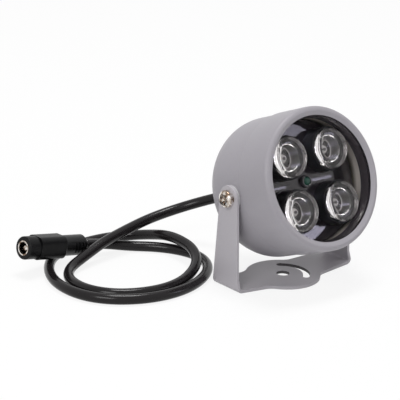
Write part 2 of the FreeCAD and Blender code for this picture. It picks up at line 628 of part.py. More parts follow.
def build_gland():
    body = new_body("cable_gland", lamp_place)
    seat, tip = "-rear_reach - gland_flange_thick", "-rear_reach - gland_len"
    neck = "gland_hole_dia / 2 - gland_play"
    lock_face = REAR_INSIDE + " + gland_lock_gap"
    lock_end = lock_face + " + gland_lock_thick"
    revolve(body, outline(sketch(body, "gland", "XZ_Plane"), [
        ("0", tip), ("gland_tip_dia / 2", tip), ("gland_root_dia / 2", seat),
        ("gland_flange_dia / 2", seat), ("gland_flange_dia / 2", "-rear_reach"),
        (neck, "-rear_reach"), (neck, lock_face), ("gland_lock_dia / 2", lock_face),
        ("gland_lock_dia / 2", lock_end), ("0", lock_end)]))
    dress(body, "Fillet", "gland_flange_thick / 4", circle_at("gland_flange_dia", seat))


def rounded_edges(points, label):
    """Straight runs joined by arcs that touch both runs, each as large as its runs allow."""
    edges, radii = [], []
    here = points[0]
    for before, corner, after in zip(points, points[1:], points[2:]):
        incoming, outgoing = (corner - before), (after - corner)
        run = min(incoming.Length, outgoing.Length)
        incoming.normalize()
        outgoing.normalize()
        turn = incoming.getAngle(outgoing)
        back = 0.45 * run
        radius = back / math.tan(turn / 2)
        start, end = corner - incoming * back, corner + outgoing * back
        inward = (outgoing - incoming).normalize()
        bulge = math.hypot(radius, back) - radius
        edges.append(Part.LineSegment(here, start).toShape())
        edges.append(Part.Arc(start, corner + inward * bulge, end).toShape())
        radii.append(radius)
        here = end
    edges.append(Part.LineSegment(here, points[-1]).toShape())
    print(label, "radii", " ".join(f"{radius:.1f}" for radius in radii))
    return edges


def tube(label, edges, diameter, place=None):
    """A round solid along a path that begins with a straight run."""
    path = Part.Wire(edges)
    first = edges[0].Vertexes[0].Point
    ahead = edges[0].tangentAt(edges[0].FirstParameter)
    section = Part.Wire(Part.Circle(first, ahead, diameter / 2).toShape())
    solid = path.makePipeShell([section], True, False)
    wanted = math.pi * diameter ** 2 / 4 * path.Length
    print(label, f"length {path.Length:.1f} volume {solid.Volume:.0f} of {wanted:.0f}")
    item = doc.addObject("Part::Feature", label + "_tube")
    item.Shape = solid
    return keep(item, label, place)


# The cord's route, from the gland's tip down to the floor, twice round and up to the socket
CORD_LEAD = [(2.5, 35.09, 29.47), (2.5, 46.2, 24.87), (-4, 57.2, 19.7), (-14.5, 64, 15.7),
             (-27.5, 66, 13.2), (-41, 65, 10.9), (-54.5, 63, 8.8), (-67, 60.5, 5.4), (-79.4, 56.8, 2.7),
             (-87.2, 46.4, 2.45)]
CORD_LOOPS = [(-88.1, 32.6, 2.45), (-81.4, 21.1, 2.45), (-69.4, 14.7, 2.45), (-55.6, 13.3, 2.45),
              (-42.2, 17.2, 2.8), (-30.2, 24.6, 5.2), (-25.4, 34.5, 7.7), (-24.8, 45, 8.7),
              (-25, 55, 7.9), (-25.6, 65.8, 5.4), (-29.3, 75.4, 2.9), (-39.1, 80.8, 2.45),
              (-52.4, 81.7, 2.45), (-66.2, 78.7, 2.45), (-77.3, 73.1, 2.45), (-88.3, 60.6, 2.45),
              (-94.6, 45.1, 2.45), (-94, 28.6, 2.45), (-86.3, 16.6, 2.45), (-73.4, 9, 2.45),
              (-59.4, 6.7, 2.45), (-45.6, 9, 2.45), (-32.6, 15.8, 2.45), (-22.9, 25.3, 2.45),
              (-19, 36.3, 2.45), (-21.2, 47.2, 2.45), (-28.2, 56.2, 2.45), (-38.3, 63.9, 2.45)]


def build_cord():
    build_gland()
    ending = [jack_place.multVec(Z * -10), jack_tail]
    edges = rounded_edges([Vector(*point) for point in CORD_LEAD + CORD_LOOPS] + ending, "cord")
    landing = 2 * len(CORD_LEAD) - 2
    start, end = (vertex.Point for vertex in edges[landing].Vertexes)
    middle = (start + end) * 0.5
    falling = edges[:landing] + [Part.LineSegment(start, middle).toShape()]
    lying = [Part.LineSegment(middle, end).toShape()] + edges[landing + 1:]
    tube("cable_lead", falling, value("cord_dia"))
    tube("cable_loops", lying, value("cord_dia"))
    low, high = value(REAR_INSIDE + " + gland_lock_gap + gland_lock_thick"), value(DRIVER_BASE)
    thick, rise, sway = value("wire_dia"), value("wire_rise"), value("wire_sway")
    for label, side in (("supply_wire", 1), ("return_wire", -1)):
        points = [Vector(side * thick, 0, low), Vector(side * thick, 0, low + rise),
                  Vector(side * 2.5 * thick, -sway * 0.6, (low + high) / 2),
                  Vector(side * 3 * thick, -sway, high - rise), Vector(side * 3 * thick, -sway, high)]
        tube(label, rounded_edges(points, label), thick, lamp_place)


# Power socket: moulded body, metal sleeve, centre pin and the insulator that holds it

def build_jack():
    body = new_body("jack_body", jack_place)
    barrel = ring(sketch(body, "barrel", "XY_Plane", "jack_len - barrel_len"), "barrel_dia")
    pad(body, barrel, "barrel_len")
    dress(body, "Fillet", "barrel_round", circle_at("barrel_dia", "jack_len"))
    grip_top = "jack_len - barrel_len - grip_gap"
    grip_base = grip_top + " - grip_len"
    neck = ring(sketch(body, "neck", "XY_Plane", grip_top), "barrel_dia - 2 * grip_gap")
    pad(body, neck, "grip_gap")
    half = "grip_side / 2"
    grip = outline(sketch(body, "grip", "XY_Plane", grip_base), [
        ("-" + half, "-" + half), (half, "-" + half), (half, half), ("-" + half, half)])
    block = pad(body, grip, "grip_len")
    doc.recompute()

    def corner(edge):
        box = edge.BoundBox
        return box.XLength < 0.01 and box.YLength < 0.01 and abs(box.ZMin - value(grip_base)) < 0.01 and \
            abs(abs(box.XMin) - value(half)) < 0.01 and abs(abs(box.YMin) - value(half)) < 0.01
    dress(body, "Fillet", "grip_corner", corner)
    relief_top = grip_base + " - relief_taper"
    revolve(body, outline(sketch(body, "relief", "XZ_Plane"), [
        ("0", "0"), ("relief_nose_dia / 2", "0"), ("relief_dia / 2", "relief_nose"),
        ("relief_dia / 2", relief_top), (half, grip_base), ("0", grip_base)]))
    slots = sketch(body, "relief_slots", "YZ_Plane")
    core = "(relief_dia / 2 - slot_depth)"
    for side in ("", "-"):
        outline(slots, [(side + core, "relief_nose"), (side + "relief_dia", "relief_nose"),
                        (side + "relief_dia", "relief_nose + slot_gap"),
                        (side + core, "relief_nose + slot_gap")])
    cut = pocket(body, slots, both_ways=True)
    doc.recompute()
    rank = body.newObject("PartDesign::LinearPattern", "relief_ribs")
    rank.Originals = [cut]
    rank.Direction = (slots, ["V_Axis"])
    rank.Occurrences = 4
    bind(rank, Length="3 * slot_pitch")
    body.Tip = rank
    doc.recompute()
    bore = ring(sketch(body, "jack_bore", "XY_Plane", "jack_len"), "sleeve_dia + 2 * jack_play")
    pocket(body, bore, "sleeve_len")

    sleeve = new_body("jack_sleeve", jack_place)
    wall = ring(sketch(sleeve, "sleeve", "XY_Plane", "jack_len - sleeve_len"), "sleeve_dia")
    pad(sleeve, ring(wall, "sleeve_bore"), "sleeve_len + sleeve_proud")
    rod("jack_insulator", "sleeve_bore - 2 * jack_play", "insulator_thick", "jack_len - sleeve_len",
        jack_place)
    rod("jack_pin", "pin_dia", "sleeve_len - insulator_thick - pin_back",
        "jack_len - sleeve_len + insulator_thick", jack_place)


build_bracket()
build_bezel()
build_glass()
build_housing()
build_seal()
build_optics()
build_mask()
build_boards()
build_sensor()
build_driver()
build_pivots()
build_cord()
build_jack()
doc.recompute()

# Every object has to be sound before anything is written

for item in doc.Objects:
    trouble = {"Invalid", "Error"} & set(item.State)
    if trouble:
        raise RuntimeError(f"{item.Label} is {trouble}")
for label, item in parts.items():
    if item.Shape.isNull() or not item.Shape.isValid():
        raise RuntimeError(f"{label} has no sound shape")
for label, item in parts.items():
    item.Shape.exportStep(f"parts/{label}.step")
print(len(parts), "parts written")
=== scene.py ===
"""An infrared illuminator: a round lamp of four lenses on a tilting bracket, with its looped lead."""
import math

import bmesh
import bpy
from mathutils import Matrix, Vector


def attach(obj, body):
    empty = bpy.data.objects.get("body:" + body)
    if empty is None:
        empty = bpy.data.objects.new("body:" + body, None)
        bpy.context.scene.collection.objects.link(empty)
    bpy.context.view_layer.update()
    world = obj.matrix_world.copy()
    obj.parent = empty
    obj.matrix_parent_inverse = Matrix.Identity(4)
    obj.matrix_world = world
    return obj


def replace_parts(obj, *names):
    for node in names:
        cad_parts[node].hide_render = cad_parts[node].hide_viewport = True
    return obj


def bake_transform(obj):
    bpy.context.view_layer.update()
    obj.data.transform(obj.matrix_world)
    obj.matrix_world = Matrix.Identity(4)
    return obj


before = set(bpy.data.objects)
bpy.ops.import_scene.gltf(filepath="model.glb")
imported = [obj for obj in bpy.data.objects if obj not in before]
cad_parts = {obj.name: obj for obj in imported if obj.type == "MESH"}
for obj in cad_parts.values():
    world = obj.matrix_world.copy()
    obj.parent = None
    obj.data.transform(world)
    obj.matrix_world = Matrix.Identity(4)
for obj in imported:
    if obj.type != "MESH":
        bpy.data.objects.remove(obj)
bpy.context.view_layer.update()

# Bracket. One strip of 1.5 mm sheet steel, punched with the foot, its hole and its curved slot,
# bent up into two tapered arms and spray painted silver grey. The walls of hole and slot are painted
# dark, as painted shade.

MM = 0.001


class Wire:
    """An output of a finish's node. Sums and products of wires become Math nodes."""

    def __init__(self, finish, socket):
        self.finish, self.socket = finish, socket

    def __getitem__(self, output):
        return Wire(self.finish, self.socket.node.outputs[output])

    def joined(self, operation, first, second):
        return self.finish.add("Math", {"operation": operation}, first, second)

    def __add__(self, other): return self.joined("ADD", self, other)
    def __radd__(self, other): return self.joined("ADD", other, self)
    def __mul__(self, other): return self.joined("MULTIPLY", self, other)
    def __rmul__(self, other): return self.joined("MULTIPLY", other, self)


class Finish:
    """The nodes of one material, or of the world round the object, put together one by one."""

    def __init__(self, name, kind="materials"):
        self.owner = getattr(bpy.data, kind).new(name)
        self.owner.use_nodes = True
        self.tree = self.owner.node_tree
        self.tree.nodes.clear()

    def add(self, kind, settings=None, *in_order, **by_name):
        """Adds a node. Its settings go first, then the values or wires of its sockets."""
        node = self.tree.nodes.new("ShaderNode" + kind)
        for name, setting in (settings or {}).items():
            if name == "stops":
                ramp = node.color_ramp
                while len(ramp.elements) < len(setting):
                    ramp.elements.new(0.5)
                for element, (position, colour) in zip(ramp.elements, setting):
                    element.position, element.color = position, colour
            else:
                setattr(node, name, setting)
        open_sockets = [socket for socket in node.inputs if socket.enabled]
        named = {socket.name.replace(" ", "_"): socket for socket in reversed(open_sockets)}
        for socket, value in list(zip(open_sockets, in_order)) + \
                [(named[name], value) for name, value in by_name.items()]:
            if isinstance(value, Wire):
                self.tree.links.new(value.socket, socket)
            else:
                socket.default_value = value
        return Wire(self, next(socket for socket in node.outputs if socket.enabled))

    def surface(self, shader, end="OutputMaterial"):
        """Ends the nodes with this shader and gives their material or world back."""
        self.tree.links.new(shader.socket, self.tree.nodes.new("ShaderNode" + end).inputs["Surface"])
        return self.owner


def silver_paint(name, thin, full, roughness):
    """Spray paint with fine metal flake, slight clouding and orange peel."""
    paint = Finish(name)
    place = paint.add("TexCoord")["Object"]
    clouds = paint.add("TexNoise", None, Vector=place, Scale=45, Detail=3)
    flake = paint.add("TexVoronoi", None, Vector=place, Scale=4200)["Color"]
    sparkle = paint.add("SeparateColor", None, flake)
    peel = paint.add("TexNoise", None, Vector=place, Scale=850, Detail=2, Roughness=0.45)
    shade = paint.add("Mix", {"data_type": "RGBA"}, Factor=clouds * 0.55 + sparkle * 0.45,
                      A=thin, B=full)
    skin = paint.add("Bump", None, Strength=0.22, Distance=0.00006, Height=peel + sparkle * 0.12)
    return paint.surface(paint.add("BsdfPrincipled", None, Base_Color=shade, Metallic=0.0, IOR=1.32,
                                   Roughness=roughness + clouds * 0.08, Normal=skin))


def dressed(node, material):
    """Gives a machined solid its finish."""
    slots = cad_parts[node].data.materials
    slots.clear()
    slots.append(material)


def ready(piece, body, slot, *materials):
    """Puts a new piece on the body that carries it, with its finish."""
    for material in materials:
        piece.data.materials.append(material)
    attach(piece, body)
    return piece


def softened(name, node, width):
    """A solid's own shape with its sharp edges broken, as deburring and paint leave them."""
    sharp = math.radians(32)
    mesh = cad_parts[node].data.copy()
    mesh.materials.clear()
    work = bmesh.new()
    work.from_mesh(mesh)
    bmesh.ops.remove_doubles(work, verts=work.verts, dist=2e-6)
    bmesh.ops.dissolve_limit(work, angle_limit=math.radians(0.2), verts=work.verts, edges=work.edges)
    work.to_mesh(mesh)
    work.free()
    piece = bpy.data.objects.new(name, mesh)
    bpy.context.scene.collection.objects.link(piece)
    for flat in mesh.polygons:
        flat.use_smooth = True
    mesh.set_sharp_from_angle(angle=sharp)
    edge = piece.modifiers.new("broken edges", "BEVEL")
    edge.width, edge.segments = width * MM, 3
    edge.limit_method, edge.angle_limit = "ANGLE", sharp
    edge.use_clamp_overlap, edge.harden_normals = True, True
    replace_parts(piece, node)
    return piece


# The bracket and the housing wear one silver paint. This copy is lighter, as painted light on the
# bracket.
bracket_paint = silver_paint("bracket_paint", (0.402, 0.384, 0.412, 1), (0.442, 0.424, 0.452, 1), 0.36)
punched_edge = silver_paint("punched_edge", (0.07, 0.065, 0.068, 1), (0.12, 0.115, 0.118, 1), 0.5)
SHEET_THICK, PUNCHED_REACH = 1.5, 13
sheet = softened("bracket_sheet", "bracket", 0.22)
ready(sheet, "bracket", "bracket_paint", bracket_paint, punched_edge)
# Upright faces near the hole and slot get the dark finish: painted shade on their walls.
for face in sheet.data.polygons:
    upright = abs(face.normal.z) < 0.3 and face.center.z < SHEET_THICK * MM
    if upright and face.center.xy.length < PUNCHED_REACH * MM:
        face.material_index = 1


# Rear housing. Die-cast aluminium shell with a domed back, painted outside, and two short bosses
# for the pivot screws. The bore inside is bare turned metal, with painted shade that darkens it below
# the mask.

# The same silver paint as the bracket's, in a darker copy, as painted shade on the housing and the
# bezel.
housing_paint = silver_paint("housing_paint", (0.290, 0.276, 0.302, 1), (0.330, 0.316, 0.342, 1), 0.36)

# The lamp's own place: its origin is on the pivots, and its +Z is the beam, tilted up from level.
PIVOT, TILT = Vector((2.5, 3.4, 42.6)) * MM, 22.5
lamp_place = Matrix.Translation(PIVOT) @ Matrix.Rotation(math.radians(90 - TILT), 4, "X")
beam_axis = (lamp_place.to_3x3() @ Vector((0, 0, 1))).normalized()

# The bore's metal goes from dark to bright over a short way along the beam: painted shade deep in the
# bore, next to the mask.
DARK_LEVEL, BRIGHT_LEVEL = 13.5, 16
bore = Finish("bore_metal")
place = bore.add("TexCoord")["Object"]
marks = bore.add("TexNoise", None, Vector=place, Scale=1800, Detail=2)
height = bore.add("VectorMath", {"operation": "DOT_PRODUCT"}, place, tuple(beam_axis))["Value"]
pivot_height = PIVOT.dot(beam_axis)
shallow = bore.add("MapRange", None, Value=height, From_Min=pivot_height + DARK_LEVEL * MM,
                   From_Max=pivot_height + BRIGHT_LEVEL * MM)
bore_metal = bore.surface(bore.add(
    "BsdfPrincipled", None, Metallic=0.6, Roughness=marks * 0.15 + 0.40,
    Base_Color=bore.add("Mix", {"data_type": "RGBA"}, Factor=shallow, A=(0.16, 0.15, 0.12, 1),
                        B=(0.88, 0.83, 0.77, 1)),
    Normal=bore.add("Bump", None, Strength=0.25, Distance=0.00004, Height=marks)))

# Faces that look inwards, in the spigot's bore and in the wider cavity behind it, are bare.
housing = softened("housing_shell", "rear_housing", 0.25)
ready(housing, "lamp", "housing_paint", housing_paint, bore_metal)
CAVITY_FLOOR, CAVITY_RADIUS, SPIGOT_BACK, BORE_RADIUS = -24.3, 29.95, 6.5, 28.6
to_lamp = lamp_place.inverted()
for face in housing.data.polygons:
    middle, way = to_lamp @ face.center / MM, to_lamp.to_3x3() @ face.normal
    faces_in = middle.x * way.x + middle.y * way.y < 0 or way.z > 0.5
    reach = BORE_RADIUS if middle.z > SPIGOT_BACK else CAVITY_RADIUS
    if faces_in and middle.z > CAVITY_FLOOR and middle.xy.length < reach:
        face.material_index = 1


# Seal ring. A moulded ring of black rubber lies in the spigot's groove. The bezel squeezes it, and
# it keeps water out of the thread.

def rubber(name, dark, light, roughness):
    """Moulded rubber or soft plastic: matt, with a fine even grain and a little bloom."""
    soft = Finish(name)
    place = soft.add("TexCoord")["Object"]
    grain = soft.add("TexNoise", None, Vector=place, Scale=2600, Detail=3)
    bloom = soft.add("TexNoise", None, Vector=place, Scale=90, Detail=4)
    shade = soft.add("Mix", {"data_type": "RGBA"}, Factor=bloom, A=dark, B=light)
    skin = soft.add("Bump", None, Strength=0.3, Distance=0.00004, Height=grain)
    return soft.surface(soft.add("BsdfPrincipled", None, Base_Color=shade, IOR=1.5,
                                 Roughness=roughness + grain * 0.08, Normal=skin))


black_rubber = rubber("black_rubber", (0.010, 0.010, 0.011, 1), (0.022, 0.022, 0.024, 1), 0.55)
dressed("seal_ring", black_rubber)


# Driver. A round green board on three brass pillars behind the heat spreader, with its coil,
# capacitor and chip, fed by two thin wires from the lead.

def turned_metal(name, dark, light, roughness):
    """Bare metal from the lathe, with fine tool marks round the beam axis."""
    metal = Finish(name)
    place = metal.add("TexCoord")["Object"]
    marks = metal.add("TexNoise", None, Vector=place, Scale=1800, Detail=2)
    stains = metal.add("TexNoise", None, Vector=place, Scale=120, Detail=4)
    shade = metal.add("Mix", {"data_type": "RGBA"}, Factor=stains * 0.7 + marks * 0.3, A=dark, B=light)
    skin = metal.add("Bump", None, Strength=0.25, Distance=0.00004, Height=marks)
    return metal.surface(metal.add("BsdfPrincipled", None, Base_Color=shade, Metallic=1.0,
                                   Roughness=roughness + stains * 0.15, Normal=skin))


def circuit_board(name, mask_colour, copper_colour):
    """Solder mask over copper: fine tracks show through as slightly lighter lines."""
    board = Finish(name)
    place = board.add("TexCoord")["Object"]
    tracks = board.add("TexBrick", {"offset": 0.35}, Vector=place, Scale=260, Mortar_Size=0.03)["Fac"]
    mottle = board.add("TexNoise", None, Vector=place, Scale=300, Detail=3)
    shade = board.add("Mix", {"data_type": "RGBA"}, Factor=tracks * 0.6 + mottle * 0.25,
                      A=mask_colour, B=copper_colour)
    skin = board.add("Bump", None, Strength=0.3, Distance=0.00004, Height=tracks)
    return board.surface(board.add("BsdfPrincipled", None, Base_Color=shade,
                                   Roughness=mottle * 0.1 + 0.3, Normal=skin))


def plain_plastic(name, dark, light, roughness, index=1.46, matt=0.1):
    """Moulded hard plastic with a faint spark-eroded grain, less of it where it is polished."""
    plastic = Finish(name)
    place = plastic.add("TexCoord")["Object"]
    grain = plastic.add("TexNoise", None, Vector=place, Scale=1900, Detail=3)
    tint = plastic.add("TexNoise", None, Vector=place, Scale=130, Detail=2)
    shade = plastic.add("Mix", {"data_type": "RGBA"}, Factor=tint, A=dark, B=light)
    skin = plastic.add("Bump", None, Strength=2 * matt, Distance=0.00003, Height=grain)
    return plastic.surface(plastic.add("BsdfPrincipled", None, Base_Color=shade, IOR=index,
                                       Roughness=roughness + grain * matt, Normal=skin))


bare_aluminium = turned_metal("bare_aluminium", (0.62, 0.62, 0.63, 1), (0.78, 0.78, 0.79, 1), 0.25)
green_board = circuit_board("green_board", (0.012, 0.085, 0.03, 1), (0.03, 0.16, 0.06, 1))
dressed("driver_board", green_board)
ferrite = plain_plastic("ferrite", (0.012, 0.012, 0.013, 1), (0.03, 0.03, 0.032, 1), 0.5)
dressed("driver_coil", ferrite)
dressed("driver_capacitor", bare_aluminium)
chip = plain_plastic("chip_plastic", (0.008, 0.008, 0.009, 1), (0.02, 0.02, 0.021, 1), 0.4)
dressed("driver_chip", chip)
brass = turned_metal("brass", (0.55, 0.38, 0.14, 1), (0.72, 0.52, 0.22, 1), 0.2)
dressed("driver_standoffs", brass)
dressed("supply_wire", rubber("red_wire", (0.30, 0.006, 0.004, 1), (0.40, 0.012, 0.008, 1), 0.4))
dressed("return_wire", rubber("black_wire", (0.010, 0.010, 0.010, 1), (0.02, 0.02, 0.02, 1), 0.4))


# Light engine. An aluminium disc carries the heat away from a white board, and two zinc-plated
# screws hold both on the housing's posts.

dressed("heat_spreader", bare_aluminium)
white_board = circuit_board("white_board", (0.62, 0.62, 0.60, 1), (0.72, 0.71, 0.68, 1))
dressed("led_board", white_board)
zinc_plate = turned_metal("bright_steel", (0.55, 0.55, 0.53, 1), (0.70, 0.70, 0.68, 1), 0.22)
dressed("board_screws", zinc_plate)


# Lens cups. Four cups of black plastic stand on the board round the emitters and hold the lenses
# by their flanges. The lens seats and the walls of the wells are metallised.

def rounded(corners, steps=5):
    """A section's outline, in mm, with an arc at each corner that is given a radius."""
    outline = []
    for index, (across, along, radius) in enumerate(corners):
        here = Vector((across, along))
        if not radius:
            outline.append(here)
            continue
        back = (Vector(corners[index - 1][:2]) - here).normalized()
        on = (Vector(corners[(index + 1) % len(corners)][:2]) - here).normalized()
        half = back.angle(on) / 2
        centre = here + (back + on).normalized() * radius / math.sin(half)
        first, last = (here + way * radius / math.tan(half) - centre for way in (back, on))
        start = math.atan2(first.y, first.x)
        sweep = (math.atan2(last.y, last.x) - start + math.pi) % (2 * math.pi) - math.pi
        for step in range(steps + 1):
            angle = start + sweep * step / steps
            outline.append(centre + Vector((math.cos(angle), math.sin(angle))) * radius)
    return outline


def turned(name, section, place, steps=160):
    """A piece from the lathe: its section, (radius, height) in mm, taken once round the axis."""
    work = bmesh.new()
    rings = []
    for across, along in section:
        if across < 0.001:
            rings.append([work.verts.new((0, 0, along * MM))])
            continue
        rings.append([work.verts.new((across * MM * math.cos(turn), across * MM * math.sin(turn),
                                      along * MM))
                      for turn in (2 * math.pi * step / steps for step in range(steps))])
    for lower, upper in zip(rings, rings[1:] + rings[:1]):
        if len(lower) == 1 and len(upper) == 1:
            continue
        for step in range(steps):
            corners = [ring[(step + ahead) % len(ring)] for ring, ahead in
                       ((lower, 0), (lower, 1), (upper, 1), (upper, 0))]
            work.faces.new(list(dict.fromkeys(corners)))
    bmesh.ops.recalc_face_normals(work, faces=work.faces)
    for face in work.faces:
        face.smooth = True
    mesh = bpy.data.meshes.new(name)
    work.to_mesh(mesh)
    work.free()
    mesh.set_sharp_from_angle(angle=math.radians(35))
    piece = bpy.data.objects.new(name, mesh)
    bpy.context.scene.collection.objects.link(piece)
    piece.matrix_world = place
    return piece


BOARD_TOP, LENS_BASE, CUP_RIM = 10.4, 18.6, 20.1
LED_PITCH, CUP_RADIUS, LENS_RADIUS, WELL_RADIUS = 24.31, 10.0, 9.055, 6.2
led_places = [lamp_place @ Matrix.Translation(Vector((side, rise, 0)) * LED_PITCH / 2 * MM)
              for rise in (1, -1) for side in (-1, 1)]


def plated(name, dark, light, roughness):
    """Vacuum plating on plastic, slightly hazy."""
    plating = Finish(name)
    place = plating.add("TexCoord")["Object"]
    haze = plating.add("TexNoise", None, Vector=place, Scale=420, Detail=3)
    shade = plating.add("Mix", {"data_type": "RGBA"}, Factor=haze, A=dark, B=light)
    skin = plating.add("Bump", None, Strength=0.05, Distance=0.00003, Height=haze)
    return plating.surface(plating.add("BsdfPrincipled", None, Base_Color=shade, Metallic=1.0,
                                       Roughness=roughness + haze * 0.12, Normal=skin))


cup_black = plain_plastic("cup_black", (0.004, 0.004, 0.005, 1), (0.008, 0.008, 0.009, 1), 0.30,
                          index=1.2, matt=0.02)
cup_plate = plated("cup_plate", (0.22, 0.21, 0.21, 1), (0.32, 0.31, 0.31, 1), 0.34)
well_plate = plated("well_plate", (0.46, 0.44, 0.44, 1), (0.62, 0.60, 0.60, 1), 0.42)
EMITTER_HOLE, SEAT_TAPER = 3.2, 1.2
SEAT_RADIUS, CUP_FLOOR = LENS_RADIUS - 1.05, BOARD_TOP + 0.5
cup_section = rounded([
    (EMITTER_HOLE, BOARD_TOP, 0), (CUP_RADIUS, BOARD_TOP, 0), (CUP_RADIUS, CUP_RIM, 0.3),
    (LENS_RADIUS + 0.1, CUP_RIM, 0.2), (LENS_RADIUS + 0.1, LENS_BASE, 0),
    (SEAT_RADIUS, LENS_BASE, 0.2), (WELL_RADIUS, LENS_BASE - SEAT_TAPER, 0.3),
    (WELL_RADIUS, CUP_FLOOR, 0.3), (EMITTER_HOLE, CUP_FLOOR, 0.1)])
for number, spot in enumerate(led_places, 1):
    cup = turned(f"reflector_cup_{number}", cup_section, spot, steps=128)
    ready(cup, "lamp", "metallised_cup", cup_black, cup_plate, well_plate)
    for face in cup.data.polygons:
        across, along = face.center.xy.length / MM, face.center.z / MM
        if WELL_RADIUS - 0.5 < across < WELL_RADIUS + 0.1 and along < LENS_BASE - SEAT_TAPER - 0.2:
            face.material_index = 2
        elif SEAT_RADIUS < across < LENS_RADIUS + 0.05 and along < CUP_RIM - 0.3:
            face.material_index = 1
    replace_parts(cup, f"lens_cup_{number}")


# Lenses. Clear moulded acrylic: a shallow dome in front over a flange that drops into the cup, and
# a round-ended stem that reaches down the well to the emitter.

acrylic = Finish("clear_lens")
place = acrylic.add("TexCoord")["Object"]
flow = acrylic.add("TexNoise", None, Vector=place, Scale=160, Detail=1)
clear_lens = acrylic.surface(acrylic.add(
    "BsdfPrincipled", None, Roughness=flow * 0.02 + 0.01, IOR=1.3, Transmission_Weight=1.0,
    Base_Color=acrylic.add("Mix", {"data_type": "RGBA"}, Factor=flow,
                           A=(0.93, 0.92, 0.92, 1), B=(0.98, 0.97, 0.97, 1)),
    Normal=acrylic.add("Bump", None, Strength=0.02, Distance=0.00005, Height=flow)))
LENS_TOP, CROWN_CURVE, STEM_END, END_CURVE, STEM_RADIUS = 23.5, 46, 15.9, 9, 6.0
crown = [(radius, LENS_TOP - radius ** 2 / (2 * CROWN_CURVE), 0) for radius in range(8)]
stem_end = [(radius, STEM_END + radius ** 2 / (2 * END_CURVE), 0)
            for radius in (5.6, 4.5, 3.5, 2.5, 1.5, 0.8, 0)]
lens_section = rounded(crown + [
    (LENS_RADIUS, LENS_TOP - 0.9, 1.3), (LENS_RADIUS, LENS_BASE, 0.2),
    (STEM_RADIUS, LENS_BASE, 0.1)] + stem_end, steps=8)
for number, spot in enumerate(led_places, 1):
    lens = turned(f"dome_lens_{number}", lens_section, spot, steps=128)
    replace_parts(ready(lens, "lamp", "clear_lens", clear_lens), f"led_lens_{number}")


# Emitters. A chip under a drop of pale resin, on a tall dark ceramic base that is soldered to the
# board. The middle of the drop looks dark, because the chip shows through it.

ceramic = plain_plastic("emitter", (0.020, 0.018, 0.018, 1), (0.034, 0.031, 0.031, 1), 0.3)
resin = plain_plastic("pale_resin", (0.50, 0.49, 0.48, 1), (0.66, 0.65, 0.64, 1), 0.12, matt=0.02)
BASE_TOP, BASE_RADIUS, BEAD_RADIUS = 13.3, 3, 2
bead = [(BEAD_RADIUS * math.sin(turn), BASE_TOP + BEAD_RADIUS * math.cos(turn), 0)
        for turn in (math.radians(10 * step) for step in range(9))]
emitter_section = rounded(bead + [(BEAD_RADIUS, BASE_TOP, 0), (BASE_RADIUS, BASE_TOP, 0.15),
                                  (BASE_RADIUS, BOARD_TOP, 0), (0, BOARD_TOP, 0)])
for number, spot in enumerate(led_places, 1):
    emitter = turned(f"emitter_bead_{number}", emitter_section, spot, steps=64)
    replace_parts(ready(emitter, "lamp", "emitter", ceramic, resin), f"led_chip_{number}")
    for face in emitter.data.polygons:
        across, along = face.center.xy.length / MM, face.center.z / MM
        if 0.8 < across < BEAD_RADIUS - 0.03 and along > BASE_TOP + 0.05:
            face.material_index = 1


# Mask and daylight sensor. A polished black plate fills the space between the cups. In its middle
# a sensor of green resin stands in a smoky collar.

black_gloss = plain_plastic("black_gloss", (0.014, 0.011, 0.015, 1), (0.022, 0.018, 0.023, 1), 0.02,
                            index=1.42, matt=0.002)
ready(softened("mask_plate", "lens_mask", 0.2), "lamp", "black_gloss", black_gloss)
green_resin = plain_plastic("green_resin", (0.008, 0.05, 0.035, 1), (0.02, 0.10, 0.07, 1), 0.08,
                            index=1.3, matt=0.02)
FOOT_RADIUS, FOOT_TOP, SENSOR_RADIUS, SENSOR_TOP = 1.6, 13.4, 1.9, 15.4
sensor = turned("daylight_sensor", rounded([
    (0, BOARD_TOP, 0), (FOOT_RADIUS, BOARD_TOP, 0), (FOOT_RADIUS, FOOT_TOP, 0),
    (SENSOR_RADIUS, FOOT_TOP, 0.1), (SENSOR_RADIUS, SENSOR_TOP, 1.2), (0, SENSOR_TOP, 0)], steps=8),
    lamp_place, steps=64)
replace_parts(ready(sensor, "lamp", "green_resin", green_resin), "photosensor")
smoky = plain_plastic("smoky_collar", (0.05, 0.05, 0.055, 1), (0.09, 0.09, 0.095, 1), 0.1, matt=0.03)
COLLAR_BORE, COLLAR_RADIUS, COLLAR_TOP = 2.0, 2.7, 14.9
collar = turned("smoky_collar", rounded([
    (COLLAR_BORE, BOARD_TOP, 0), (COLLAR_RADIUS, BOARD_TOP, 0), (COLLAR_RADIUS, COLLAR_TOP, 0.3),
    (COLLAR_BORE, COLLAR_TOP, 0.3)]), lamp_place, steps=64)
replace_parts(ready(collar, "lamp", "pale_plastic", smoky), "sensor_collar")


# Front glass and bezel. A turned aluminium bezel screws on the housing's spigot and presses the
# flat glass on its gasket with a narrow lip. It is sprayed with the housing.

FRONT, LIP_BACK, GLASS_BACK, SPIGOT_FRONT, BEZEL_BACK = 26.2, 25.2, 23.7, 22.5, 6.9
BEZEL_RADIUS, OPENING_RADIUS, GLASS_RADIUS = 32.5, 28.4, 30.0
pane = Finish("front_glass")
place = pane.add("TexCoord")["Object"]
smear = pane.add("TexNoise", None, Vector=place, Scale=55, Detail=4)
sheen = pane.add("BsdfPrincipled", None, Base_Color=(0.9, 0.92, 0.95, 1), Metallic=1.0,
                 Roughness=smear * 0.04 + 0.02)
clear = pane.add("BsdfTransparent", None, (0.97, 0.965, 0.965, 1))
mirror = pane.add("Fresnel", None, IOR=1.05)
front_glass = pane.surface(pane.add("MixShader", None, mirror + smear * 0.0012, clear, sheen))
glass = turned("window_glass", rounded([
    (0, GLASS_BACK, 0), (GLASS_RADIUS, GLASS_BACK, 0.3), (GLASS_RADIUS, LIP_BACK, 0.3),
    (0, LIP_BACK, 0)], steps=2), lamp_place)
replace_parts(ready(glass, "lamp", "front_glass", front_glass), "front_glass")

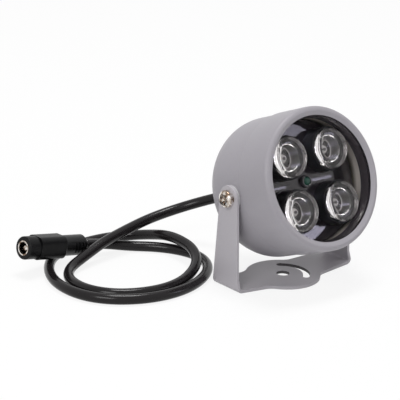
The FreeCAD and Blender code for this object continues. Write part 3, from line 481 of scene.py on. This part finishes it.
SEAL_RADIUS, SKIRT_RADIUS, SKIRT_BORE, SKIRT_TOP, SKIRT_END = 29.9, 28.2, 27.6, 21.9, 19.2
seal = turned("window_seal", rounded([
    (OPENING_RADIUS, GLASS_BACK, 0), (SEAL_RADIUS, GLASS_BACK, 0), (SEAL_RADIUS, SPIGOT_FRONT, 0),
    (SKIRT_RADIUS, SPIGOT_FRONT, 0), (SKIRT_RADIUS, SKIRT_END, 0.1), (SKIRT_BORE, SKIRT_END, 0.2),
    (SKIRT_BORE + 0.3, SKIRT_TOP, 0.3)]), lamp_place)
grey_rubber = rubber("grey_rubber", (0.042, 0.036, 0.042, 1), (0.066, 0.058, 0.066, 1), 0.32)
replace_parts(ready(seal, "lamp", "black_rubber", grey_rubber), "glass_gasket")

POCKET_RADIUS, THREAD_RADIUS = 30.1, 30.6
BEVEL_DEPTH, BEVEL_WIDTH, FRONT_ROUND = 0.8, 1.9, 1.99
bezel = turned("bezel_ring", rounded([
    (OPENING_RADIUS, FRONT - BEVEL_DEPTH, 0.2), (OPENING_RADIUS + BEVEL_WIDTH, FRONT, 0.8),
    (BEZEL_RADIUS, FRONT, FRONT_ROUND), (BEZEL_RADIUS, BEZEL_BACK, 0.5),
    (THREAD_RADIUS, BEZEL_BACK, 0.2), (THREAD_RADIUS, SPIGOT_FRONT, 0), (POCKET_RADIUS, SPIGOT_FRONT, 0),
    (POCKET_RADIUS, LIP_BACK, 0), (OPENING_RADIUS, LIP_BACK, 0.1)], steps=8), lamp_place, steps=192)
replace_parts(ready(bezel, "lamp", "housing_paint", housing_paint), "front_bezel")


# Pivot screws. Nickel-plated pan head screws with a cross recess clamp each arm against a thin
# nylon washer, so that friction holds the lamp where it is set.

nickel = Finish("nickel")
place = nickel.add("TexCoord")["Object"]
plating = nickel.add("TexNoise", None, Vector=place, Scale=700, Detail=3)
painted_reflection_noise = nickel.add("TexNoise", None, Vector=place, Scale=480, Detail=2)
# Brown and pale patches in the plating's colour are painted reflections of dark and bright surroundings.
painted_reflection_patches = nickel.add("ValToRGB", {"stops": [
    (0.42, (0.20, 0.14, 0.10, 1)), (0.50, (0.62, 0.56, 0.50, 1)),
    (0.62, (0.84, 0.82, 0.80, 1))]}, painted_reflection_noise)
nickel_plate = nickel.surface(nickel.add(
    "BsdfPrincipled", None, Metallic=1.0, Roughness=plating * 0.10 + 0.12, Base_Color=painted_reflection_patches,
    Normal=nickel.add("Bump", None, Strength=0.3, Distance=0.00006, Height=painted_reflection_noise)))
nylon = plain_plastic("pale_plastic", (0.42, 0.43, 0.42, 1), (0.55, 0.56, 0.55, 1), 0.35)
for side in ("left", "right"):
    screw = softened(f"pan_head_{side}", f"pivot_screw_{side}", 0.12)
    ready(screw, "lamp", "nickel", nickel_plate)
    dressed(f"friction_washer_{side}", nylon)


# Cable gland and lead. A soft black gland snaps into the hole in the housing's back. The lead is
# one 4.8 mm round cord that drops to the floor and lies in two loose turns up to its socket.

TAIL_END, FLANGE_BACK, WALL_BACK, WALL_FRONT, BARB_FRONT = -34.3, -28.3, -26.3, -23.8, -22.4
TAIL_RADIUS, CONE_RADIUS, FLANGE_RADIUS, WAIST_RADIUS, BARB_RADIUS = 3.15, 4.7, 6.5, 4.4, 5.7
gland = turned("soft_gland", rounded([
    (0, TAIL_END, 0), (TAIL_RADIUS, TAIL_END, 0.5), (CONE_RADIUS, FLANGE_BACK, 0.4),
    (FLANGE_RADIUS, FLANGE_BACK, 0.5), (FLANGE_RADIUS, WALL_BACK, 0.1), (WAIST_RADIUS, WALL_BACK, 0),
    (WAIST_RADIUS, WALL_FRONT, 0), (BARB_RADIUS, WALL_FRONT, 0.2), (BARB_RADIUS, BARB_FRONT, 0.4),
    (0, BARB_FRONT, 0)]), lamp_place, steps=96)
gland_rubber = rubber("gland_rubber", (0.011, 0.011, 0.012, 1), (0.024, 0.024, 0.026, 1), 0.5)
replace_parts(ready(gland, "lamp", "black_rubber", gland_rubber), "cable_gland")

CORD_RADIUS = 2.4
route = [
    (2.5, 35.09, 29.47), (2.5, 46.2, 24.87), (-4, 57.2, 19.7), (-14.5, 64, 15.7), (-27.5, 66, 13.2),
    (-41, 65, 10.9), (-54.5, 63, 8.8), (-67, 60.5, 5.4), (-79.4, 56.8, 2.7), (-87.2, 46.4, 2.45),
    (-88.1, 32.6, 2.45), (-81.4, 21.1, 2.45), (-69.4, 14.7, 2.45), (-55.6, 13.3, 2.45),
    (-42.2, 17.2, 2.8), (-30.2, 24.6, 5.2), (-24.9, 34.5, 7.8), (-24.3, 45, 8.8), (-24.5, 55, 8.2),
    (-25.6, 65.8, 5.4), (-29.3, 75.4, 2.9), (-39.1, 80.1, 2.45), (-52.4, 80.9, 2.45),
    (-66.2, 78.0, 2.45), (-77.3, 73.1, 2.45), (-88.3, 60.6, 2.45), (-94.6, 45.1, 2.45),
    (-94, 28.6, 2.45), (-86.3, 16.6, 2.45), (-73.4, 9, 2.45), (-59.4, 6.7, 2.45), (-45.6, 9, 2.45),
    (-32.6, 15.8, 2.45), (-23.2, 25.3, 2.45), (-19.5, 36.3, 2.45), (-21.7, 47.2, 2.45),
    (-28.4, 57.2, 2.45), (-38.4, 65.2, 2.45), (-52.21, 69.76, 5.28), (-62.0, 68.9, 7.1)]
line = bpy.data.curves.new("lead_route", "CURVE")
line.dimensions = "3D"
line.resolution_u = 10
spline = line.splines.new("NURBS")
spline.points.add(len(route) - 1)
for point, (x, y, z) in zip(spline.points, route):
    point.co = (x * MM, y * MM, z * MM, 1)
spline.order_u = 3
spline.use_endpoint_u = True
guide = bpy.data.objects.new("lead_guide", line)
bpy.context.scene.collection.objects.link(guide)
bpy.context.view_layer.update()
traced = bpy.data.meshes.new_from_object(guide)
middle_line = [vertex.co.copy() for vertex in traced.vertices]
bpy.data.objects.remove(guide)


def tube(name, points, radius):
    """A round sheath along a row of points, with closed ends."""
    work = bmesh.new()
    side, steps = Vector((1, 0, 0)), 24
    rings = []
    for before, here, after in zip(points[:1] + points, points, points[1:] + points[-1:]):
        ahead = (after - before).normalized()
        side = (side - ahead * side.dot(ahead)).normalized()
        up = ahead.cross(side)
        rings.append([work.verts.new(here + (side * math.cos(turn) + up * math.sin(turn)) * radius)
                      for turn in (2 * math.pi * step / steps for step in range(steps))])
    for lower, upper in zip(rings, rings[1:]):
        for step in range(steps):
            after = (step + 1) % steps
            work.faces.new([lower[step], lower[after], upper[after], upper[step]])
    work.faces.new(rings[0])
    work.faces.new(rings[-1])
    bmesh.ops.recalc_face_normals(work, faces=work.faces)
    for face in work.faces:
        face.smooth = True
    mesh = bpy.data.meshes.new(name)
    work.to_mesh(mesh)
    work.free()
    piece = bpy.data.objects.new(name, mesh)
    bpy.context.scene.collection.objects.link(piece)
    return piece


sheath = Finish("cord_sheath")
place = sheath.add("TexCoord")["Object"]
grain = sheath.add("TexNoise", None, Vector=place, Scale=1500, Detail=2)
dust = sheath.add("TexNoise", None, Vector=place, Scale=70, Detail=4)
cord_sheath = sheath.surface(sheath.add(
    "BsdfPrincipled", None, IOR=1.3, Roughness=dust * 0.08 + 0.14,
    Base_Color=sheath.add("Mix", {"data_type": "RGBA"}, Factor=dust,
                          A=(0.007, 0.006, 0.0065, 1), B=(0.013, 0.011, 0.012, 1)),
    Normal=sheath.add("Bump", None, Strength=0.12, Distance=0.00004, Height=grain)))
lead = tube("looped_lead", middle_line, CORD_RADIUS * MM)
lead.data.materials.append(cord_sheath)
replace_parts(lead, "cable_lead", "cable_loops")
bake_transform(lead)


# Power socket. Black plastic moulded over a nickel sleeve and its centre pin, with a squared grip
# and a ribbed strain relief on the lead's end.

black_plastic = plain_plastic("black_plastic", (0.004, 0.004, 0.0045, 1), (0.008, 0.008, 0.0085, 1),
                              0.3, index=1.22)
socket_body = softened("socket_moulding", "jack_body", 0.3)
ready(socket_body, "bracket", "black_plastic", black_plastic)
# The sleeve and the pin carry the nickel's painted reflections too.
dressed("jack_sleeve", nickel_plate)
dressed("jack_insulator", black_plastic)
dressed("jack_pin", nickel_plate)


# Camera. A long lens from the front left and a little above, rolled by two degrees and aimed to the
# left of the bracket, as in the photograph.

azimuth, elevation, roll = math.radians(-40.08), math.radians(19.21), math.radians(2.11)
aim, DISTANCE, SHIFT_LEFT, SHIFT_UP = Vector((0, 0, 0.0325)), 0.980, 0.03893, 0.00402
back = Vector((math.sin(azimuth) * math.cos(elevation), -math.cos(azimuth) * math.cos(elevation),
               math.sin(elevation)))
level = Vector((math.cos(azimuth), math.sin(azimuth), 0))
up = back.cross(level)
right = level * math.cos(roll) + up * math.sin(roll)
top = up * math.cos(roll) - level * math.sin(roll)
camera = bpy.data.objects.new("camera", bpy.data.cameras.new("camera"))
camera.data.sensor_width = 36
camera.data.lens = 195.23
camera.data.clip_start, camera.data.clip_end = 0.01, 20
bpy.context.scene.collection.objects.link(camera)
stand = aim + back * DISTANCE - right * SHIFT_LEFT + top * SHIFT_UP
camera.matrix_world = Matrix.Translation(stand) @ Matrix((right, top, back)).transposed().to_4x4()
bpy.context.scene.camera = camera


# Floor and backdrop. A white sweep that the lamp stands on. It looks white to the camera and in
# reflections, and keeps a faint shadow.

def rays_that_see_white(finish):
    """1 for rays from the camera, a mirror or glass, and 0 for light that is scattered."""
    path = finish.add("LightPath")
    seen = path["Is Camera Ray"] + path["Is Glossy Ray"] + path["Is Transmission Ray"]
    return finish.add("Math", {"operation": "MINIMUM"}, seen, 1.0)


sweep = Finish("white_sweep")
place = sweep.add("TexCoord")["Object"]
fibre = sweep.add("TexNoise", None, Vector=place, Scale=900, Detail=3)
tone = sweep.add("Mix", {"data_type": "RGBA"}, Factor=fibre, A=(0.80, 0.80, 0.80, 1),
                 B=(0.86, 0.86, 0.86, 1))
card = sweep.add("BsdfDiffuse", None, Color=tone)
glow = sweep.add("Emission", None, Color=(1, 1, 1, 1), Strength=1.0)
shown = sweep.add("MixShader", None, 0.14, glow, card)
white_sweep = sweep.surface(sweep.add("MixShader", None, rays_that_see_white(sweep), card, shown))
floor_mesh = bpy.data.meshes.new("floor")
floor_mesh.from_pydata([(-3, -3, 0), (3, -3, 0), (3, 3, 0), (-3, 3, 0)], [], [(0, 1, 2, 3)])
floor_mesh.materials.append(white_sweep)
floor = bpy.data.objects.new("floor", floor_mesh)
bpy.context.scene.collection.objects.link(floor)

studio = Finish("studio", "worlds")
room = studio.add("Background", None, Color=(1, 1, 1, 1),
                  Strength=rays_that_see_white(studio) * 0.52 + 0.48)
bpy.context.scene.world = studio.surface(room, "OutputWorld")


# Lamps. A large softbox on the left, one overhead and a weaker one on the right. Four dim lavender
# panels, two broad and two thin, stand where the polished mask mirrors them into the camera. They
# are given by their edges in mm.

def softbox(name, place, towards, size, power, colour=(1, 1, 1)):
    """A flat light of this size that faces a point and that the camera doesn't see itself."""
    light = bpy.data.lights.new(name, "AREA")
    light.shape, light.size, light.size_y = "RECTANGLE", size[0], size[1]
    light.energy, light.color = power, colour
    lamp = bpy.data.objects.new(name, light)
    bpy.context.scene.collection.objects.link(lamp)
    lamp.location = place
    lamp.rotation_euler = (Vector(towards) - Vector(place)).to_track_quat("-Z", "Y").to_euler()
    lamp.visible_camera = False
    return lamp


for name, place, width, power in (
        ("key_left", (-1.1, -0.55, 0.85), 0.6, 7.8), ("overhead", (0.1, 0.1, 1.2), 0.4, 8.0),
        ("fill_right", (0.8, -0.9, 0.45), 0.5, 0.5)):
    softbox(name, place, (0, 0, 0.04), (width, width), power)

PANELS_AWAY, LAVENDER = 0.38, (0.78, 0.76, 1.0)
facing, mask_up = Vector((0.608, -0.744, 0.279)).normalized(), Vector((0, 0.3827, 0.9239))
across = mask_up.cross(facing).normalized()
rising = facing.cross(across)
for name, left, end, low, high, glow in (
        ("lavender_low", -45, 45, -48, -28, 28), ("lavender_high", -45, 45, 28, 48, 12),
        ("left_line", -17, -2, -2.1, -0.9, 24), ("right_line", 12, 27, -1.6, 0, 22)):
    spot = PIVOT + facing * PANELS_AWAY + (across * (left + end) + rising * (low + high)) / 2 * MM
    wide, tall = (end - left) * MM, (high - low) * MM
    panel = softbox(name, spot, PIVOT, (wide, tall), glow * wide * tall, LAVENDER)
    aimed = Matrix((across, rising, facing)).transposed().to_4x4()
    panel.matrix_world = Matrix.Translation(spot) @ aimed
    panel.visible_diffuse = False

bpy.context.scene.view_settings.view_transform = "Standard"
